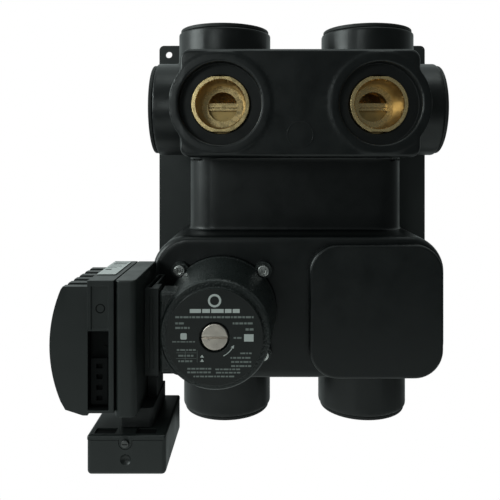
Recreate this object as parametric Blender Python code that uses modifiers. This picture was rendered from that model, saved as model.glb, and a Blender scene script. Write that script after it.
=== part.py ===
"""Wall-hung pump module of an underfloor heating manifold.

A two-shell insulated casing holds two three-way valves (upper half), one wet-rotor circulator (lower
left) and a blanked second pump bay (lower right). A control box and a terminal box hang on the motor's left.

X runs to the right, Z runs up and the wall is the plane Y = 0, with the object at negative Y. Lengths
are millimetres, which MM turns into metres. "out" is a distance out from the wall, so Y = -out.
"""

import math

import bmesh
import bpy
from mathutils import Euler, Vector

MM = 0.001
GAP = 0.3  # clearance between pieces that touch
WALL = 3.0  # thickness of the casing's walls
SIDES = (("left", -1), ("right", 1))

# Casing: a head with the valves, a narrower middle and a wide lower section, on a wall plate.
PLATE_HALF_WIDTH, PLATE_BOTTOM, PLATE_SHOULDER, PLATE_THICKNESS = 126.5, -140.0, 118.0, 3.0
EAR_WIDTH, EAR_TOP, PLATE_CORNER = 17.6, 139.6, 4.5  # an ear stands up at each of the plate's upper corners
PLATE_HOLE_X, PLATE_HOLE_Z, PLATE_HOLE_RADIUS = 117.5, 131.0, 3.1
HEAD_HALF_WIDTH, HEAD_BOTTOM, HEAD_TOP, HEAD_FRONT = 89.3, 33.0, 113.5, 130.5
MIDDLE_HALF_WIDTH, MIDDLE_FRONT, MIDDLE_ROUND = 91.0, 74.0, 24.0
LOWER_HALF_WIDTH, LOWER_BOTTOM, LOWER_TOP, LOWER_FRONT = 114.5, -139.9, -28.0, 105.5
HEAD_CORNER, LOWER_CORNER = 8.0, 29.0
HEAD_FILLET, LOWER_FILLET = 3.0, 5.0

# Ports: two up, two sideways, two down, and two flush ports in the head's front face.
PORT_X, VALVE_Z = 59.5, 73.0
UPPER_PORT_OUT, LOWER_PORT_OUT, RISER_OUT = 70.5, 41.0, 54.0
STUB_RADIUS = 38.0
TOP_RIM, SIDE_RIM, BOTTOM_RIM = 134.7, 114.0, -181.4
FLUSH_RADIUS, FLUSH_FRONT = 30.8, 130.9
SPIGOT_RADIUS, SPIGOT_BORE = 21.0, 14.0

# Parting of the shells: through the upper stubs' axes above, through the lower stubs' axes below.
PARTING_Z = 31.0

# Casing screws go in from behind, into posts of the front shell: (x, z, out at the post's front end).
CASING_SCREWS = (
    (-102.5, -122.0, LOWER_FRONT - 2),
    (102.5, -122.0, LOWER_FRONT - 2),
    (0.0, 101.0, HEAD_FRONT - 2),
    (0.0, -14.0, MIDDLE_FRONT - 2),
)
POST_RADIUS = 5.0

# Circulator: its axis runs along Y at (PUMP_X, PUMP_Z).
PUMP_X, PUMP_Z = -59.5, -86.0
FLANGE_SCREW_OFFSET = 32.15
FLANGE_BACK, FLANGE_FRONT, MOTOR_FRONT = 106.3, 111.5, 170.0

# Second pump bay, closed by a cover.
BLANK_X, BLANK_Z, BLANK_HALF, BLANK_OPENING_HALF = 59.5, -85.5, 51.5, 40.0

# Control box, in layers from the motor outwards (towards -X), and the terminal box under it.
BRACKET_SEAT = -99.0  # the flat pad on the motor's left, in X
BOX_BACK, BOX_FRONT, BOX_TOP = 113.0, 185.5, -46.4
TERMINAL_X = (-142.6, -91.0)
TERMINAL_OUT = (113.5, 180.5)

# Base colour, roughness, metallic.
LOOKS = {
    "casing_black": ((0.012, 0.013, 0.014), 0.38, 0.0),
    "soft_black": ((0.018, 0.018, 0.018), 0.75, 0.0),
    "foam_grey": ((0.10, 0.10, 0.10), 0.95, 0.0),
    "brass": ((0.62, 0.44, 0.17), 0.32, 1.0),
    "steel": ((0.55, 0.55, 0.56), 0.35, 1.0),
    "dark_screw": ((0.12, 0.12, 0.12), 0.4, 1.0),
    "painted_black": ((0.02, 0.02, 0.02), 0.55, 0.0),
    "cast_iron": ((0.10, 0.10, 0.10), 0.6, 0.8),
    "ceramic_grey": ((0.30, 0.30, 0.32), 0.4, 0.0),
    "copper": ((0.55, 0.24, 0.12), 0.4, 1.0),
    "rubber": ((0.02, 0.02, 0.02), 0.8, 0.0),
    "box_plastic": ((0.022, 0.022, 0.024), 0.6, 0.0),
    "label_white": ((0.85, 0.86, 0.86), 0.6, 0.0),
    "plate_black": ((0.02, 0.02, 0.022), 0.35, 0.0),
    "board_green": ((0.02, 0.14, 0.06), 0.5, 0.0),
    "nickel": ((0.66, 0.56, 0.50), 0.3, 1.0),
    "engine_plastic": ((0.55, 0.50, 0.40), 0.5, 0.0),
}

# Rotations that take local +Z to each direction. With "front", local X stays X and local Y becomes Z.
FACING = {
    "front": Euler((math.radians(90), 0, 0)),
    "up": Euler((0, 0, 0)),
    "right": Euler((0, math.radians(90), 0)),
}

for stale in list(bpy.data.objects):
    bpy.data.objects.remove(stale)
PART = bpy.data.collections.new("pump_module")
CUTTERS = bpy.data.collections.new("cutters")
for collection in (PART, CUTTERS):
    bpy.context.scene.collection.children.link(collection)


# Making and placing shapes


def add_object(name, mesh, look):
    """Puts a mesh in the scene: as a piece of the object, or with no look as a cutter."""
    obj = bpy.data.objects.new(name, mesh)
    if look is None:
        CUTTERS.objects.link(obj)
        obj.hide_render = True
        obj.display_type = "WIRE"
        return obj
    PART.objects.link(obj)
    colour, roughness, metallic = LOOKS[look]
    material = bpy.data.materials.new(name)
    material.use_nodes = True
    shader = material.node_tree.nodes["Principled BSDF"]
    shader.inputs["Base Color"].default_value = (*colour, 1.0)
    shader.inputs["Roughness"].default_value = roughness
    shader.inputs["Metallic"].default_value = metallic
    mesh.materials.append(material)
    return obj


def round_edges(bm, radius, segments, wanted):
    bmesh.ops.bevel(
        bm,
        geom=[edge for edge in bm.edges if wanted(*(v.co for v in edge.verts))],
        offset=radius * MM,
        segments=segments,
        profile=0.5,
        affect="EDGES",
    )


def block(name, x, out, z, look=None, corner=0.0, fillet=0.0, upright=0.0, segments=4):
    """A box between two limits in X, out and Z. corner rounds its edges along Y, fillet the front face's
    rim, and upright the two front edges along Z."""
    low = Vector((x[0], -out[1], z[0])) * MM
    high = Vector((x[1], -out[0], z[1])) * MM
    bm = bmesh.new()
    bmesh.ops.create_cube(bm, size=1.0)
    for vertex in bm.verts:
        vertex.co = (low + high) / 2 + vertex.co * (high - low)
    near = 1e-6

    def in_front(a, b):
        return abs(a.y - low.y) < near and abs(b.y - low.y) < near

    if corner:
        round_edges(bm, corner, segments, lambda a, b: abs(a.y - b.y) > near)
    if fillet:
        round_edges(bm, fillet, 2, in_front)
    if upright:
        round_edges(bm, upright, segments, lambda a, b: in_front(a, b) and abs(a.z - b.z) > near)
    mesh = bpy.data.meshes.new(name)
    bm.to_mesh(mesh)
    bm.free()
    return add_object(name, mesh, look)


def rod(name, radius, facing, at, span, look=None, steps=24):
    """A cylinder along a direction, between two distances from `at` along it."""
    bm = bmesh.new()
    length = (span[1] - span[0]) * MM
    bmesh.ops.create_cone(
        bm, cap_ends=True, segments=steps, radius1=radius * MM, radius2=radius * MM, depth=length
    )
    bmesh.ops.translate(bm, vec=(0, 0, (span[0] + span[1]) / 2 * MM), verts=bm.verts)
    mesh = bpy.data.meshes.new(name)
    bm.to_mesh(mesh)
    bm.free()
    obj = add_object(name, mesh, look)
    obj.location = Vector(at) * MM
    obj.rotation_euler = FACING[facing]
    return obj


def turned(name, profile, facing, at, look=None, steps=24):
    """A profile of (radius, height) turned about an axis. It runs from the top of the axis or of the bore
    outwards and then down. A profile that starts off the axis is closed, so it makes a ring."""
    mesh = bpy.data.meshes.new(name)
    points = [(radius * MM, 0.0, height * MM) for radius, height in profile]
    edges = [(i, i + 1) for i in range(len(points) - 1)]
    if profile[0][0] > 0:
        edges.append((len(points) - 1, 0))
    mesh.from_pydata(points, edges, [])
    obj = add_object(name, mesh, look)
    obj.location = Vector(at) * MM
    obj.rotation_euler = FACING[facing]
    screw = obj.modifiers.new("turn", "SCREW")
    screw.steps = screw.render_steps = steps
    screw.use_merge_vertices = True
    screw.merge_threshold = 1e-6
    return obj


def ring(name, outer, inner, facing, at, span, look=None, steps=24):
    profile = [(inner, span[1]), (outer, span[1]), (outer, span[0]), (inner, span[0])]
    return turned(name, profile, facing, at, look, steps)


def mesh_of(curve_object):
    """A curve object's mesh with its caps welded on, and the curve object removed."""
    graph = bpy.context.evaluated_depsgraph_get()
    mesh = bpy.data.meshes.new_from_object(curve_object.evaluated_get(graph))
    bpy.data.objects.remove(curve_object)
    bm = bmesh.new()
    bm.from_mesh(mesh)
    bmesh.ops.remove_doubles(bm, verts=bm.verts, dist=1e-6)
    bmesh.ops.recalc_face_normals(bm, faces=bm.faces)
    bm.to_mesh(mesh)
    bm.free()
    return mesh


def curve_object(points, dimensions):
    curve = bpy.data.curves.new("path", "CURVE")
    curve.dimensions = dimensions
    spline = curve.splines.new("POLY")
    spline.points.add(len(points) - 1)
    for target, point in zip(spline.points, points):
        target.co = (*(value * MM for value in point), 1.0)
    obj = bpy.data.objects.new("path", curve)
    CUTTERS.objects.link(obj)
    return obj, curve, spline


def arc(centre, radius, start, end, count):
    """Points (x, z) along an arc, between two angles in degrees."""
    angles = [math.radians(start + (end - start) * i / count) for i in range(count + 1)]
    return [(centre[0] + radius * math.cos(a), centre[1] + radius * math.sin(a)) for a in angles]


def prism(name, outline, out, look=None):
    """An outline of (x, z) points, between two distances out from the wall."""
    obj, curve, spline = curve_object([(x, z, 0.0) for x, z in outline], "2D")
    spline.use_cyclic_u = True
    curve.fill_mode = "BOTH"
    curve.extrude = (out[1] - out[0]) / 2 * MM
    solid = add_object(name, mesh_of(obj), look)
    solid.location = (0, -(out[0] + out[1]) / 2 * MM, 0)
    solid.rotation_euler = FACING["front"]
    return solid


def bent_rod(name, points, radius, look=None):
    obj, curve, _ = curve_object(points, "3D")
    curve.bevel_depth = radius * MM
    curve.bevel_resolution = 4
    curve.use_fill_caps = True
    return add_object(name, mesh_of(obj), look)


def combine(operation, obj, others):
    for other in others:
        boolean = obj.modifiers.new(operation.lower(), "BOOLEAN")
        boolean.operation = operation
        boolean.object = other
    return obj


def cut(obj, *cutters):
    return combine("DIFFERENCE", obj, cutters)


def join(obj, *others):
    return combine("UNION", obj, others)


# Casing


def casing_form(name, inset, look=None):
    """The casing's outer form or, with an inset, the hollow that leaves walls of that thickness."""
    back = 2.0 + inset * 4 / 3
    ends = 8.0 if inset else 0.0
    form = block(
        name,
        (inset - HEAD_HALF_WIDTH, HEAD_HALF_WIDTH - inset),
        (back, HEAD_FRONT - inset),
        (HEAD_BOTTOM + inset, HEAD_TOP - inset),
        look,
        corner=HEAD_CORNER - inset,
        fillet=0.0 if inset else HEAD_FILLET,
        segments=2 if inset else 4,
    )
    middle_half = HEAD_HALF_WIDTH - inset if inset else MIDDLE_HALF_WIDTH
    overlap = WALL + 2 * inset
    middle = block(
        "middle",
        (-middle_half, middle_half),
        (back, MIDDLE_FRONT - inset),
        (LOWER_TOP - overlap, HEAD_BOTTOM + overlap),
        upright=MIDDLE_ROUND - inset,
        segments=4,
    )
    lower = block(
        "lower",
        (inset - LOWER_HALF_WIDTH, LOWER_HALF_WIDTH - inset),
        (back, LOWER_FRONT - inset),
        (LOWER_BOTTOM + inset, LOWER_TOP - inset),
        corner=LOWER_CORNER - inset,
        fillet=0.0 if inset else LOWER_FILLET,
        segments=6,
    )
    radius = STUB_RADIUS - inset
    stubs = []
    for _, sign in SIDES:
        x = sign * PORT_X
        stubs += [
            rod("top_stub", radius, "up", (x, -UPPER_PORT_OUT, 0), (VALVE_Z, TOP_RIM + ends), steps=28),
            rod("bottom_stub", radius, "up", (x, -LOWER_PORT_OUT, 0), (BOTTOM_RIM - ends, -110), steps=28),
            rod("flush_stub", radius, "front", (x, 0, VALVE_Z), (60, FLUSH_FRONT - inset), steps=28),
        ]
    side_axis, reach = (0, -UPPER_PORT_OUT, VALVE_Z), SIDE_RIM + ends
    stubs.append(rod("side_stubs", radius, "right", side_axis, (-reach, reach), steps=28))
    return join(form, middle, lower, *stubs)


def rear_space(name, gap):
    """The space behind the parting, moved forwards (gap above 0) or back (gap below 0)."""
    far = 300.0
    upper = block(name, (-far, far), (-far, UPPER_PORT_OUT + gap), (PARTING_Z - gap, far))
    lower = block("lower_half", (-far, far), (-far, LOWER_PORT_OUT + gap), (-far, PARTING_Z + 1))
    return join(upper, lower)


def front_shell():
    shell = casing_form("front_shell", 0.0, "casing_black")
    cut(shell, casing_form("front_hollow", WALL), rear_space("behind_parting", GAP))
    for x, z, post_front in CASING_SCREWS:
        join(shell, rod("post", POST_RADIUS, "front", (x, 0, z), (6 + GAP, post_front), steps=16))
        cut(shell, rod("pilot", 2.2, "front", (x, 0, z), (0, 24), steps=12))
    for _, sign in SIDES:
        port = (sign * PORT_X, 0, VALVE_Z)
        cut(shell, rod("flush_hole", FLUSH_RADIUS, "front", port, (120, 140), steps=28))
    cut(shell, rod("pump_hole", 41.5, "front", (PUMP_X, 0, PUMP_Z), (90, 120), steps=32))
    for x, z in flange_screw_places():
        cut(shell, rod("screw_hole", 3.2, "front", (x, 0, z), (90, 120), steps=12))
    half = BLANK_OPENING_HALF
    cut(
        shell,
        block(
            "blank_opening",
            (BLANK_X - half, BLANK_X + half),
            (95, 115),
            (BLANK_Z - half, BLANK_Z + half),
            corner=14,
        ),
    )


def plate_outline():
    """The wall plate seen from the front, starting at its lower right corner."""
    half, corner = PLATE_HALF_WIDTH, PLATE_CORNER
    right = [
        *arc((half - corner, PLATE_BOTTOM + corner), corner, -90, 0, 4),
        *arc((half - corner, EAR_TOP - corner), corner, 0, 90, 4),
        (half - EAR_WIDTH, EAR_TOP),
        (half - EAR_WIDTH, PLATE_SHOULDER),
    ]
    return right + [(-x, z) for x, z in reversed(right)]


def rear_shell():
    shell = casing_form("rear_shell", 0.0, "casing_black")
    cut(shell, casing_form("rear_hollow", WALL))
    far = 300.0
    upper = block("upper_front", (-far, far), (UPPER_PORT_OUT - GAP, far), (0, far))
    lower = block("lower_front", (-far, far), (LOWER_PORT_OUT - GAP, far), (-far, PARTING_Z + GAP))
    cut(shell, join(upper, lower))
    join(shell, prism("plate", plate_outline(), (0, PLATE_THICKNESS)))
    for x in (-PLATE_HOLE_X, PLATE_HOLE_X):
        for z in (-PLATE_HOLE_Z, PLATE_HOLE_Z):
            cut(shell, rod("wall_hole", PLATE_HOLE_RADIUS, "front", (x, 0, z), (-5, 10), steps=16))
    for x, z, _ in CASING_SCREWS:
        cut(
            shell,
            rod("counterbore", 4.5, "front", (x, 0, z), (-5, 3), steps=12),
            rod("clearance", 2.4, "front", (x, 0, z), (-5, 10), steps=12),
        )


def casing_screws():
    for number, (x, z, _) in enumerate(CASING_SCREWS, 1):
        profile = [(0, 22), (1.9, 22), (1.9, 3 - GAP), (4, 3 - GAP), (4, GAP), (0, GAP)]
        screw = turned(f"casing_screw_{number}", profile, "front", (x, 0, z), "steel", steps=12)
        cut(screw, block("drive", (x - 0.5, x + 0.5), (-1, 1.4), (z - 2.5, z + 2.5)))


def foam_core():
    core = block("foam_core", (-34, 41), (8, 66), (-132, 24), "foam_grey", corner=4, segments=2)
    x, z, _ = CASING_SCREWS[3]
    cut(core, rod("post_hole", POST_RADIUS + 0.8, "front", (x, 0, z), (0, 80), steps=16))


def blank_cover():
    half, skirt = BLANK_HALF, BLANK_OPENING_HALF - GAP

    def square(name, half_width, out, corner, look=None, fillet=0.0):
        x = (BLANK_X - half_width, BLANK_X + half_width)
        z = (BLANK_Z - half_width, BLANK_Z + half_width)
        return block(name, x, out, z, look, corner=corner, fillet=fillet, segments=5)

    cover = square("blank_cover", half, (LOWER_FRONT + GAP, 113.5), 22, "casing_black", fillet=2)
    join(cover, square("skirt", skirt, (98, 108), 14 - GAP))
    cut(cover, square("hollow", skirt - 2.5, (90, 110.5), 11.5))


def port_rings():
    """The end ring of each insulated stub: a lip on the rim and a skirt inside."""

    def end_ring(name, facing, at, rim, outward):
        lip, seat, tail = (rim + outward * d for d in (3.3, GAP, -15))
        profile = [(29, lip), (36.4, lip), (36.4, seat), (34.7, seat), (34.7, tail), (29, tail)]
        if outward < 0:
            profile = [(29, tail), (34.7, tail), (34.7, seat), (36.4, seat), (36.4, lip), (29, lip)]
        turned(name, profile, facing, at, "soft_black", steps=20)

    for side, sign in SIDES:
        x = sign * PORT_X
        end_ring(f"top_ring_{side}", "up", (x, -UPPER_PORT_OUT, 0), TOP_RIM, 1)
        end_ring(f"side_ring_{side}", "right", (0, -UPPER_PORT_OUT, VALVE_Z), sign * SIDE_RIM, sign)
        end_ring(f"bottom_ring_{side}", "up", (x, -LOWER_PORT_OUT, 0), BOTTOM_RIM, -1)


# Valves and pipes


def valve(side, sign):
    x = sign * PORT_X
    axis = (x, 0, VALVE_Z)

    body = turned(
        f"valve_body_{side}",
        [(0, 124.5), (21.75, 124.5), (21.75, 108), (26, 108), (26, 34), (0, 34)],
        "front",
        axis,
        "brass",
    )
    sideways = (59.5, 107) if sign > 0 else (-107, -59.5)
    branches = (
        (SPIGOT_RADIUS, "up", (x, -UPPER_PORT_OUT, 0), (VALVE_Z, 128)),
        (SPIGOT_RADIUS, "right", (0, -UPPER_PORT_OUT, VALVE_Z), sideways),
        (17, "up", (x, -RISER_OUT, 0), (HEAD_BOTTOM, VALVE_Z)),
    )
    for radius, facing, at, span in branches:
        join(body, rod("branch", radius, facing, at, span))
    funnel = [(0, 130), (18.9, 130), (18.45, 124.5), (16.4, 98), (11.7, 98), (11.7, 95.5)]
    chamber = [*funnel, (20.8, 95.5), (20.8, 30), (0, 30)]
    cut(body, turned("chamber", chamber, "front", axis))
    far_side = (59.5, 110) if sign > 0 else (-110, -59.5)
    cut(
        body,
        rod("top_bore", SPIGOT_BORE, "up", (x, -UPPER_PORT_OUT, 0), (VALVE_Z, 130)),
        rod("side_bore", SPIGOT_BORE, "right", (0, -UPPER_PORT_OUT, VALVE_Z), far_side),
        rod("down_bore", 12.5, "up", (x, -RISER_OUT, 0), (30, VALVE_Z)),
    )
    for low, high in ((20.6, 30), (-30, -20.6)):
        cut(body, block("flat", (x - 30, x + 30), (108.5, 130), (VALVE_Z + low, VALVE_Z + high)))

    plug = turned(
        f"valve_plug_{side}",
        [(11.7, 95.2), (20.5, 95.2), (20.5, 37), (15.5, 37), (15.5, 91), (11.7, 91)],
        "front",
        axis,
        "brass",
    )
    join(plug, block("key_bar", (x - 14, x + 14), (90, 94.6), (VALVE_Z - 2.25, VALVE_Z + 2.25)))
    window_side = (59.5, 90) if sign > 0 else (-90, -59.5)
    cut(
        plug,
        rod("window", 12, "up", (x, -UPPER_PORT_OUT, 0), (VALVE_Z, 110)),
        rod("window", 12, "right", (0, -UPPER_PORT_OUT, VALVE_Z), window_side),
        rod("window", 11, "up", (x, -RISER_OUT, 0), (40, VALVE_Z)),
    )

    ring(f"valve_seal_{side}", 20.4, 17.3, "front", axis, (34.0, 36.5), "rubber", steps=16)
    cap = [(0, 36.7), (17, 36.7), (17, 33.7), (26, 33.7), (26, 28), (0, 28)]
    turned(f"valve_cap_{side}", cap, "front", axis, "brass", steps=16)

    collar = [(31.2, 127.2), (34, 127.2), (34, 110), (22.2, 110), (22.2, 120), (31.2, 120)]
    turned(f"flush_collar_{side}", collar, "front", axis, "soft_black", steps=20)


def pipes():
    ring("riser_pipe_left", 17, 13, "up", (-PORT_X, -RISER_OUT, 0), (-31.4, 32.7), "steel", steps=20)
    # The right pipe shifts towards the wall on its way down, along a half wave.
    bend_top, bend_bottom, count = 0.0, -80.0, 8

    def route(top, bottom):
        bend = []
        for i in range(count + 1):
            share = i / count
            shift = (1 - math.cos(math.pi * share)) / 2
            out = RISER_OUT + (LOWER_PORT_OUT - RISER_OUT) * shift
            bend.append((PORT_X, -out, bend_top + (bend_bottom - bend_top) * share))
        return [(PORT_X, -RISER_OUT, top), *bend, (PORT_X, -LOWER_PORT_OUT, bottom)]

    bypass = bent_rod("bypass_pipe_right", route(32.7, -138.2), 17, "steel")
    cut(bypass, bent_rod("bypass_bore", route(40, -145), 13))
    for side, sign in SIDES:
        at = (sign * PORT_X, -LOWER_PORT_OUT, 0)
        ring(f"lower_spigot_{side}", SPIGOT_RADIUS, SPIGOT_BORE, "up", at, (-175, -138.5), "brass", steps=20)


# Circulator


def flange_screw_places():
    step = FLANGE_SCREW_OFFSET
    return [(PUMP_X + a * step, PUMP_Z + b * step) for a, b in ((-1, 1), (1, 1), (1, -1), (-1, -1))]


def pump_housing(axis):
    profile = [(0, 104.6), (41.2, 104.6), (41.2, 102.2), (46, 102.2), (46, 78), (24, 78), (24, 22), (0, 22)]
    housing = turned("pump_housing", profile, "front", axis, "cast_iron")
    for x, z in flange_screw_places():
        join(housing, rod("ear", 5.5, "front", (x, 0, z), (85, 102.2), steps=12))
    suction = (PUMP_X, -LOWER_PORT_OUT, 0)
    discharge = (PUMP_X, -RISER_OUT, 0)
    crossing = (PUMP_X, 0, -58)
    join(
        housing,
        rod("suction_boss", 20, "up", suction, (-138.2, PUMP_Z), steps=20),
        rod("crossing_boss", 13, "front", crossing, (54, 80), steps=16),
        rod("discharge_boss", 17, "up", discharge, (-70, -31.7), steps=16),
    )
    cut(
        housing,
        rod("volute", 37, "front", axis, (84, 110)),
        rod("eye", 12, "front", axis, (41, 85), steps=16),
        rod("suction_bore", SPIGOT_BORE, "up", suction, (-145, -76), steps=16),
        rod("crossing_bore", 9, "front", crossing, (54, 86), steps=12),
        rod("discharge_bore", 12, "up", discharge, (-66, -25), steps=16),
    )
    for x, z in flange_screw_places():
        cut(housing, rod("pilot", 2.8, "front", (x, 0, z), (87, 110), steps=12))


def impeller(axis):
    wheel = rod("impeller", 34, "front", axis, (99, 101.5), "engine_plastic")
    join(wheel, rod("hub", 8, "front", axis, (89, 100), steps=16))
    vanes = 6
    for number in range(vanes):
        vane = block("vane", (6, 33), (89.2, 100), (-1, 1))
        vane.location = Vector(axis) * MM
        vane.rotation_euler = (0, 2 * math.pi * number / vanes + 0.3, 0)
        join(wheel, vane)
    join(wheel, ring("eye_shroud", 33.8, 13, "front", axis, (88, 90)))
    cut(wheel, rod("shaft_bore", 4.3, "front", axis, (80, 110), steps=16))


def motor_housing(axis):
    profile = [
        (0, 174.2),
        (31.8, 174.2),
        (31.8, MOTOR_FRONT),
        (36.3, MOTOR_FRONT),
        (37.5, MOTOR_FRONT - 1.2),
        (42, FLANGE_FRONT),
        (42.4, FLANGE_FRONT),
        (42.4, FLANGE_BACK),
        (0, FLANGE_BACK),
    ]
    housing = turned("motor_housing", profile, "front", axis, "painted_black", steps=32)
    for x, z in flange_screw_places():
        join(housing, rod("ear", 6.5, "front", (x, 0, z), (FLANGE_BACK, FLANGE_FRONT), steps=16))
    join(housing, block("box_pad", (BRACKET_SEAT, -80), (140, 161), (-116, -59), upright=3, segments=2))
    cut(
        housing,
        rod("stator_bore", 35, "front", axis, (100, 166.5), steps=32),
        rod("vent_recess", 10.1, "front", axis, (170.5, 180), steps=20),
        rod("vent_thread", 5.4, "front", axis, (160, 180), steps=16),
    )
    for x, z in flange_screw_places():
        cut(
            housing,
            rod("screw_hole", 2.8, "front", (x, 0, z), (100, 120), steps=12),
            rod("head_pocket", 4.9, "front", (x, 0, z), (FLANGE_FRONT, 122), steps=16),
        )


def circulator():
    axis = (PUMP_X, 0, PUMP_Z)
    pump_housing(axis)
    ring("housing_gasket", 41, 37.5, "front", axis, (104.9, 106.0), "rubber", steps=20)
    ring("bearing_plate", 36.5, 9.3, "front", axis, (102.4, 104.6), "steel", steps=20)
    ring("inner_bearing", 8.8, 4.3, "front", axis, (102, 109), "ceramic_grey", steps=12)
    can = [(6, 165), (25, 165), (25, 106), (36.8, 106)]  # its outside, then its inside
    can += [(36.8, 104.9), (24.2, 104.9), (24.2, 163.7), (6, 163.7)]
    turned("rotor_can", can, "front", axis, "steel", steps=20)
    ring("outer_bearing", 23.5, 4.3, "front", axis, (157, 163.4), "ceramic_grey", steps=16)
    rod("rotor_shaft", 4, "front", axis, (87.5, 162.5), "ceramic_grey", steps=12)
    ring("rotor_core", 23, 4.3, "front", axis, (118, 150), "steel", steps=20)
    impeller(axis)
    ring("stator_core", 34, 27.5, "front", axis, (120, 155), "dark_screw", steps=20)
    winding = [(25.5, 162), (33, 162), (33, 155.3), (27, 155.3)]  # the front coil end, then the rear one
    winding += [(27, 119.7), (33, 119.7), (33, 110), (25.5, 110)]
    turned("stator_winding", winding, "front", axis, "copper", steps=20)
    motor_housing(axis)
    ring("nameplate", 32.1, 10.3, "front", axis, (174.5, 175.2), "plate_black")
    ring("vent_seal", 8.2, 5.4, "front", axis, (170.8, 172), "rubber", steps=20)
    screw = [(0, 175.2), (8, 175.2), (8.7, 174.5), (8.7, 172.3), (5, 172.3), (5, 166.3), (0, 166.3)]
    vent = turned("vent_screw", screw, "front", axis, "nickel", steps=20)
    cut(vent, block("slot", (PUMP_X - 12, PUMP_X + 12), (173.7, 180), (PUMP_Z - 0.8, PUMP_Z + 0.8)))
    for number, (x, z) in enumerate(flange_screw_places(), 1):
        profile = [(0, 115.3), (4, 115.3), (4.25, 115), (4.25, 111.8), (2.4, 111.8), (2.4, 90), (0, 90)]
        screw = turned(f"flange_screw_{number}", profile, "front", (x, 0, z), "dark_screw", steps=12)
        cut(screw, rod("hex_socket", 2.3, "front", (x, 0, z), (113, 120), steps=6))


# Control box and terminal box


def cover_outline(inset):
    """The finned cover seen from the front: flat against the box, and a bulging arc on its outer side."""
    inner, top, bottom = -141.2, -50.8 - inset, -134.4 + inset
    radius, reach = 94.8 - inset, 36.25 - inset
    spread = math.degrees(math.asin(reach / radius))
    bulge = arc((-71.2, -89.0), radius, 180 - spread, 180 + spread, 8)
    lower = [(-155.7 + inset, -130.7 + inset), (-144.3, bottom)]
    return [(inner, top), (-157.4 + inset, top), *bulge, *lower, (inner, bottom)]


def control_box():
    across = (-109.0, BRACKET_SEAT - GAP)
    bracket = block("box_bracket", across, (146, 160), (-117, -57), "box_plastic", upright=1.5, segments=2)
    join(bracket, block("arm", (-108.7, -102.9), (109, 150), (-116.5, -57.3)))
    cut(bracket, block("pocket", (-107.2, -104.6), (111, 157), (-80, -50)))

    base = block(
        "control_base", (-123.3, -109.3), (BOX_BACK, BOX_FRONT), (-135, BOX_TOP), "box_plastic", upright=4
    )
    cut(base, block("hollow", (-125, -113), (115.5, 180), (-132.5, -48.9)))

    middle = block("control_middle", (-140.9, -123.6), (BOX_BACK, BOX_FRONT), (-132, BOX_TOP), "box_plastic")
    cut(
        middle,
        block("hollow", (-145, -126.5), (115.5, 175), (-129.5, -48.9)),
        block("panel", (-138.2, -127.3), (184.7, 190), (-78, -50)),
        block("slot", (-145, -127), (177.5, 190), (-130.2, -79)),
    )
    socket = block("signal_socket", (-139.5, -128.5), (177.8, 181), (-128, -98), "soft_black")
    for number in range(4):
        z = -124 + 7 * number
        cut(socket, block("pin_hole", (-136, -132), (179, 185), (z - 1.5, z + 1.5)))
    block("circuit_board", (-132, -130.4), (118, 174), (-127, -51), "board_green")

    cover = prism("finned_cover", cover_outline(3.0), (117, 181), "box_plastic")
    ribs, rib_width, pitch = 6, 6.0, 12.4
    for number in range(ribs):
        front = 183 - number * pitch
        join(cover, prism("rib", cover_outline(0.0), (front - rib_width, front)))
    cut(cover, block("hollow", (-154, -130), (121, 178), (-126, -58)))

    block("box_label", (-139.7, -127), (118.2, 166.8), (-46.1, -45.8), "label_white", corner=0)

    duct = block(
        "cable_duct", (-123.4, -101.3), (120, 169.5), (-148.2, -135.3), "box_plastic", upright=3, segments=2
    )
    join(duct, block("web", (-108.9, -102), (125, 150), (-140, -117.6)))


def terminal_box():
    low, high = TERMINAL_X
    back, front = TERMINAL_OUT
    screw_x, screw_z = -117.4, -153.6

    rounding = {"upright": 2, "segments": 2}
    body = block("terminal_box", TERMINAL_X, TERMINAL_OUT, (-174.6, -151.8), "box_plastic", **rounding)
    hollow = block("hollow", (low + 2.5, high - 2.5), (back + 2.5, front - 2.5), (-172.1, -145))
    cut(hollow, block("screw_boss", (-124, -111), (170, 185), (-160, -140)))
    cut(
        body,
        hollow,
        block("tongue_notch", (-121.9, -112.9), (front - 2.6, 190), (-157.9, -145)),
        rod("dimple", 4, "front", (-117.2, 0, -164.4), (180, 190), steps=16),
        rod("pilot", 1.6, "front", (screw_x, 0, screw_z), (171, 185), steps=10),
        rod("gland_hole", 6.4, "front", (-117, 0, -162), (100, 117), steps=16),
    )
    lid = block("terminal_lid", TERMINAL_X, TERMINAL_OUT, (-151.5, -148.5), "box_plastic", **rounding)
    join(lid, block("tongue", (-121.6, -113.2), (front - 2.3, front - 0.01), (-157.6, -150)))
    cut(lid, rod("screw_hole", 1.6, "front", (screw_x, 0, screw_z), (171, 190), steps=10))
    for x in ((-138.5, -124.7), (-111.6, -98.1)):
        cut(lid, block("recess", x, (169.8, 177.7), (-149.3, -140)))
    profile = [(0, 182), (2, 182), (2.4, 181.5), (2.4, 180.8), (1.3, 180.8), (1.3, 172), (0, 172)]
    screw = turned("terminal_screw", profile, "front", (screw_x, 0, screw_z), "steel", steps=12)
    cut(screw, block("drive", (screw_x - 1.6, screw_x + 1.6), (181.3, 185), (screw_z - 0.4, screw_z + 0.4)))

    terminals = block("terminal_block", (-136, -98), (150, 166), (-171.8, -163), "label_white")
    for number in range(5):
        x = -132.5 + 7.8 * number
        cut(terminals, rod("terminal", 2.2, "up", (x, -158, 0), (-166, -160), steps=10))
    gland = [(4.5, 121), (6, 121), (6, 113.2), (9, 113.2), (9, 103), (7.5, 99), (4.5, 99)]
    turned("cable_gland", gland, "front", (-117, 0, -162), "soft_black", steps=18)


def merge_flat_faces(mesh):
    bm = bmesh.new()
    bm.from_mesh(mesh)
    bmesh.ops.dissolve_limit(bm, angle_limit=math.radians(0.2), verts=bm.verts, edges=bm.edges)
    bm.to_mesh(mesh)
    bm.free()


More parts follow.
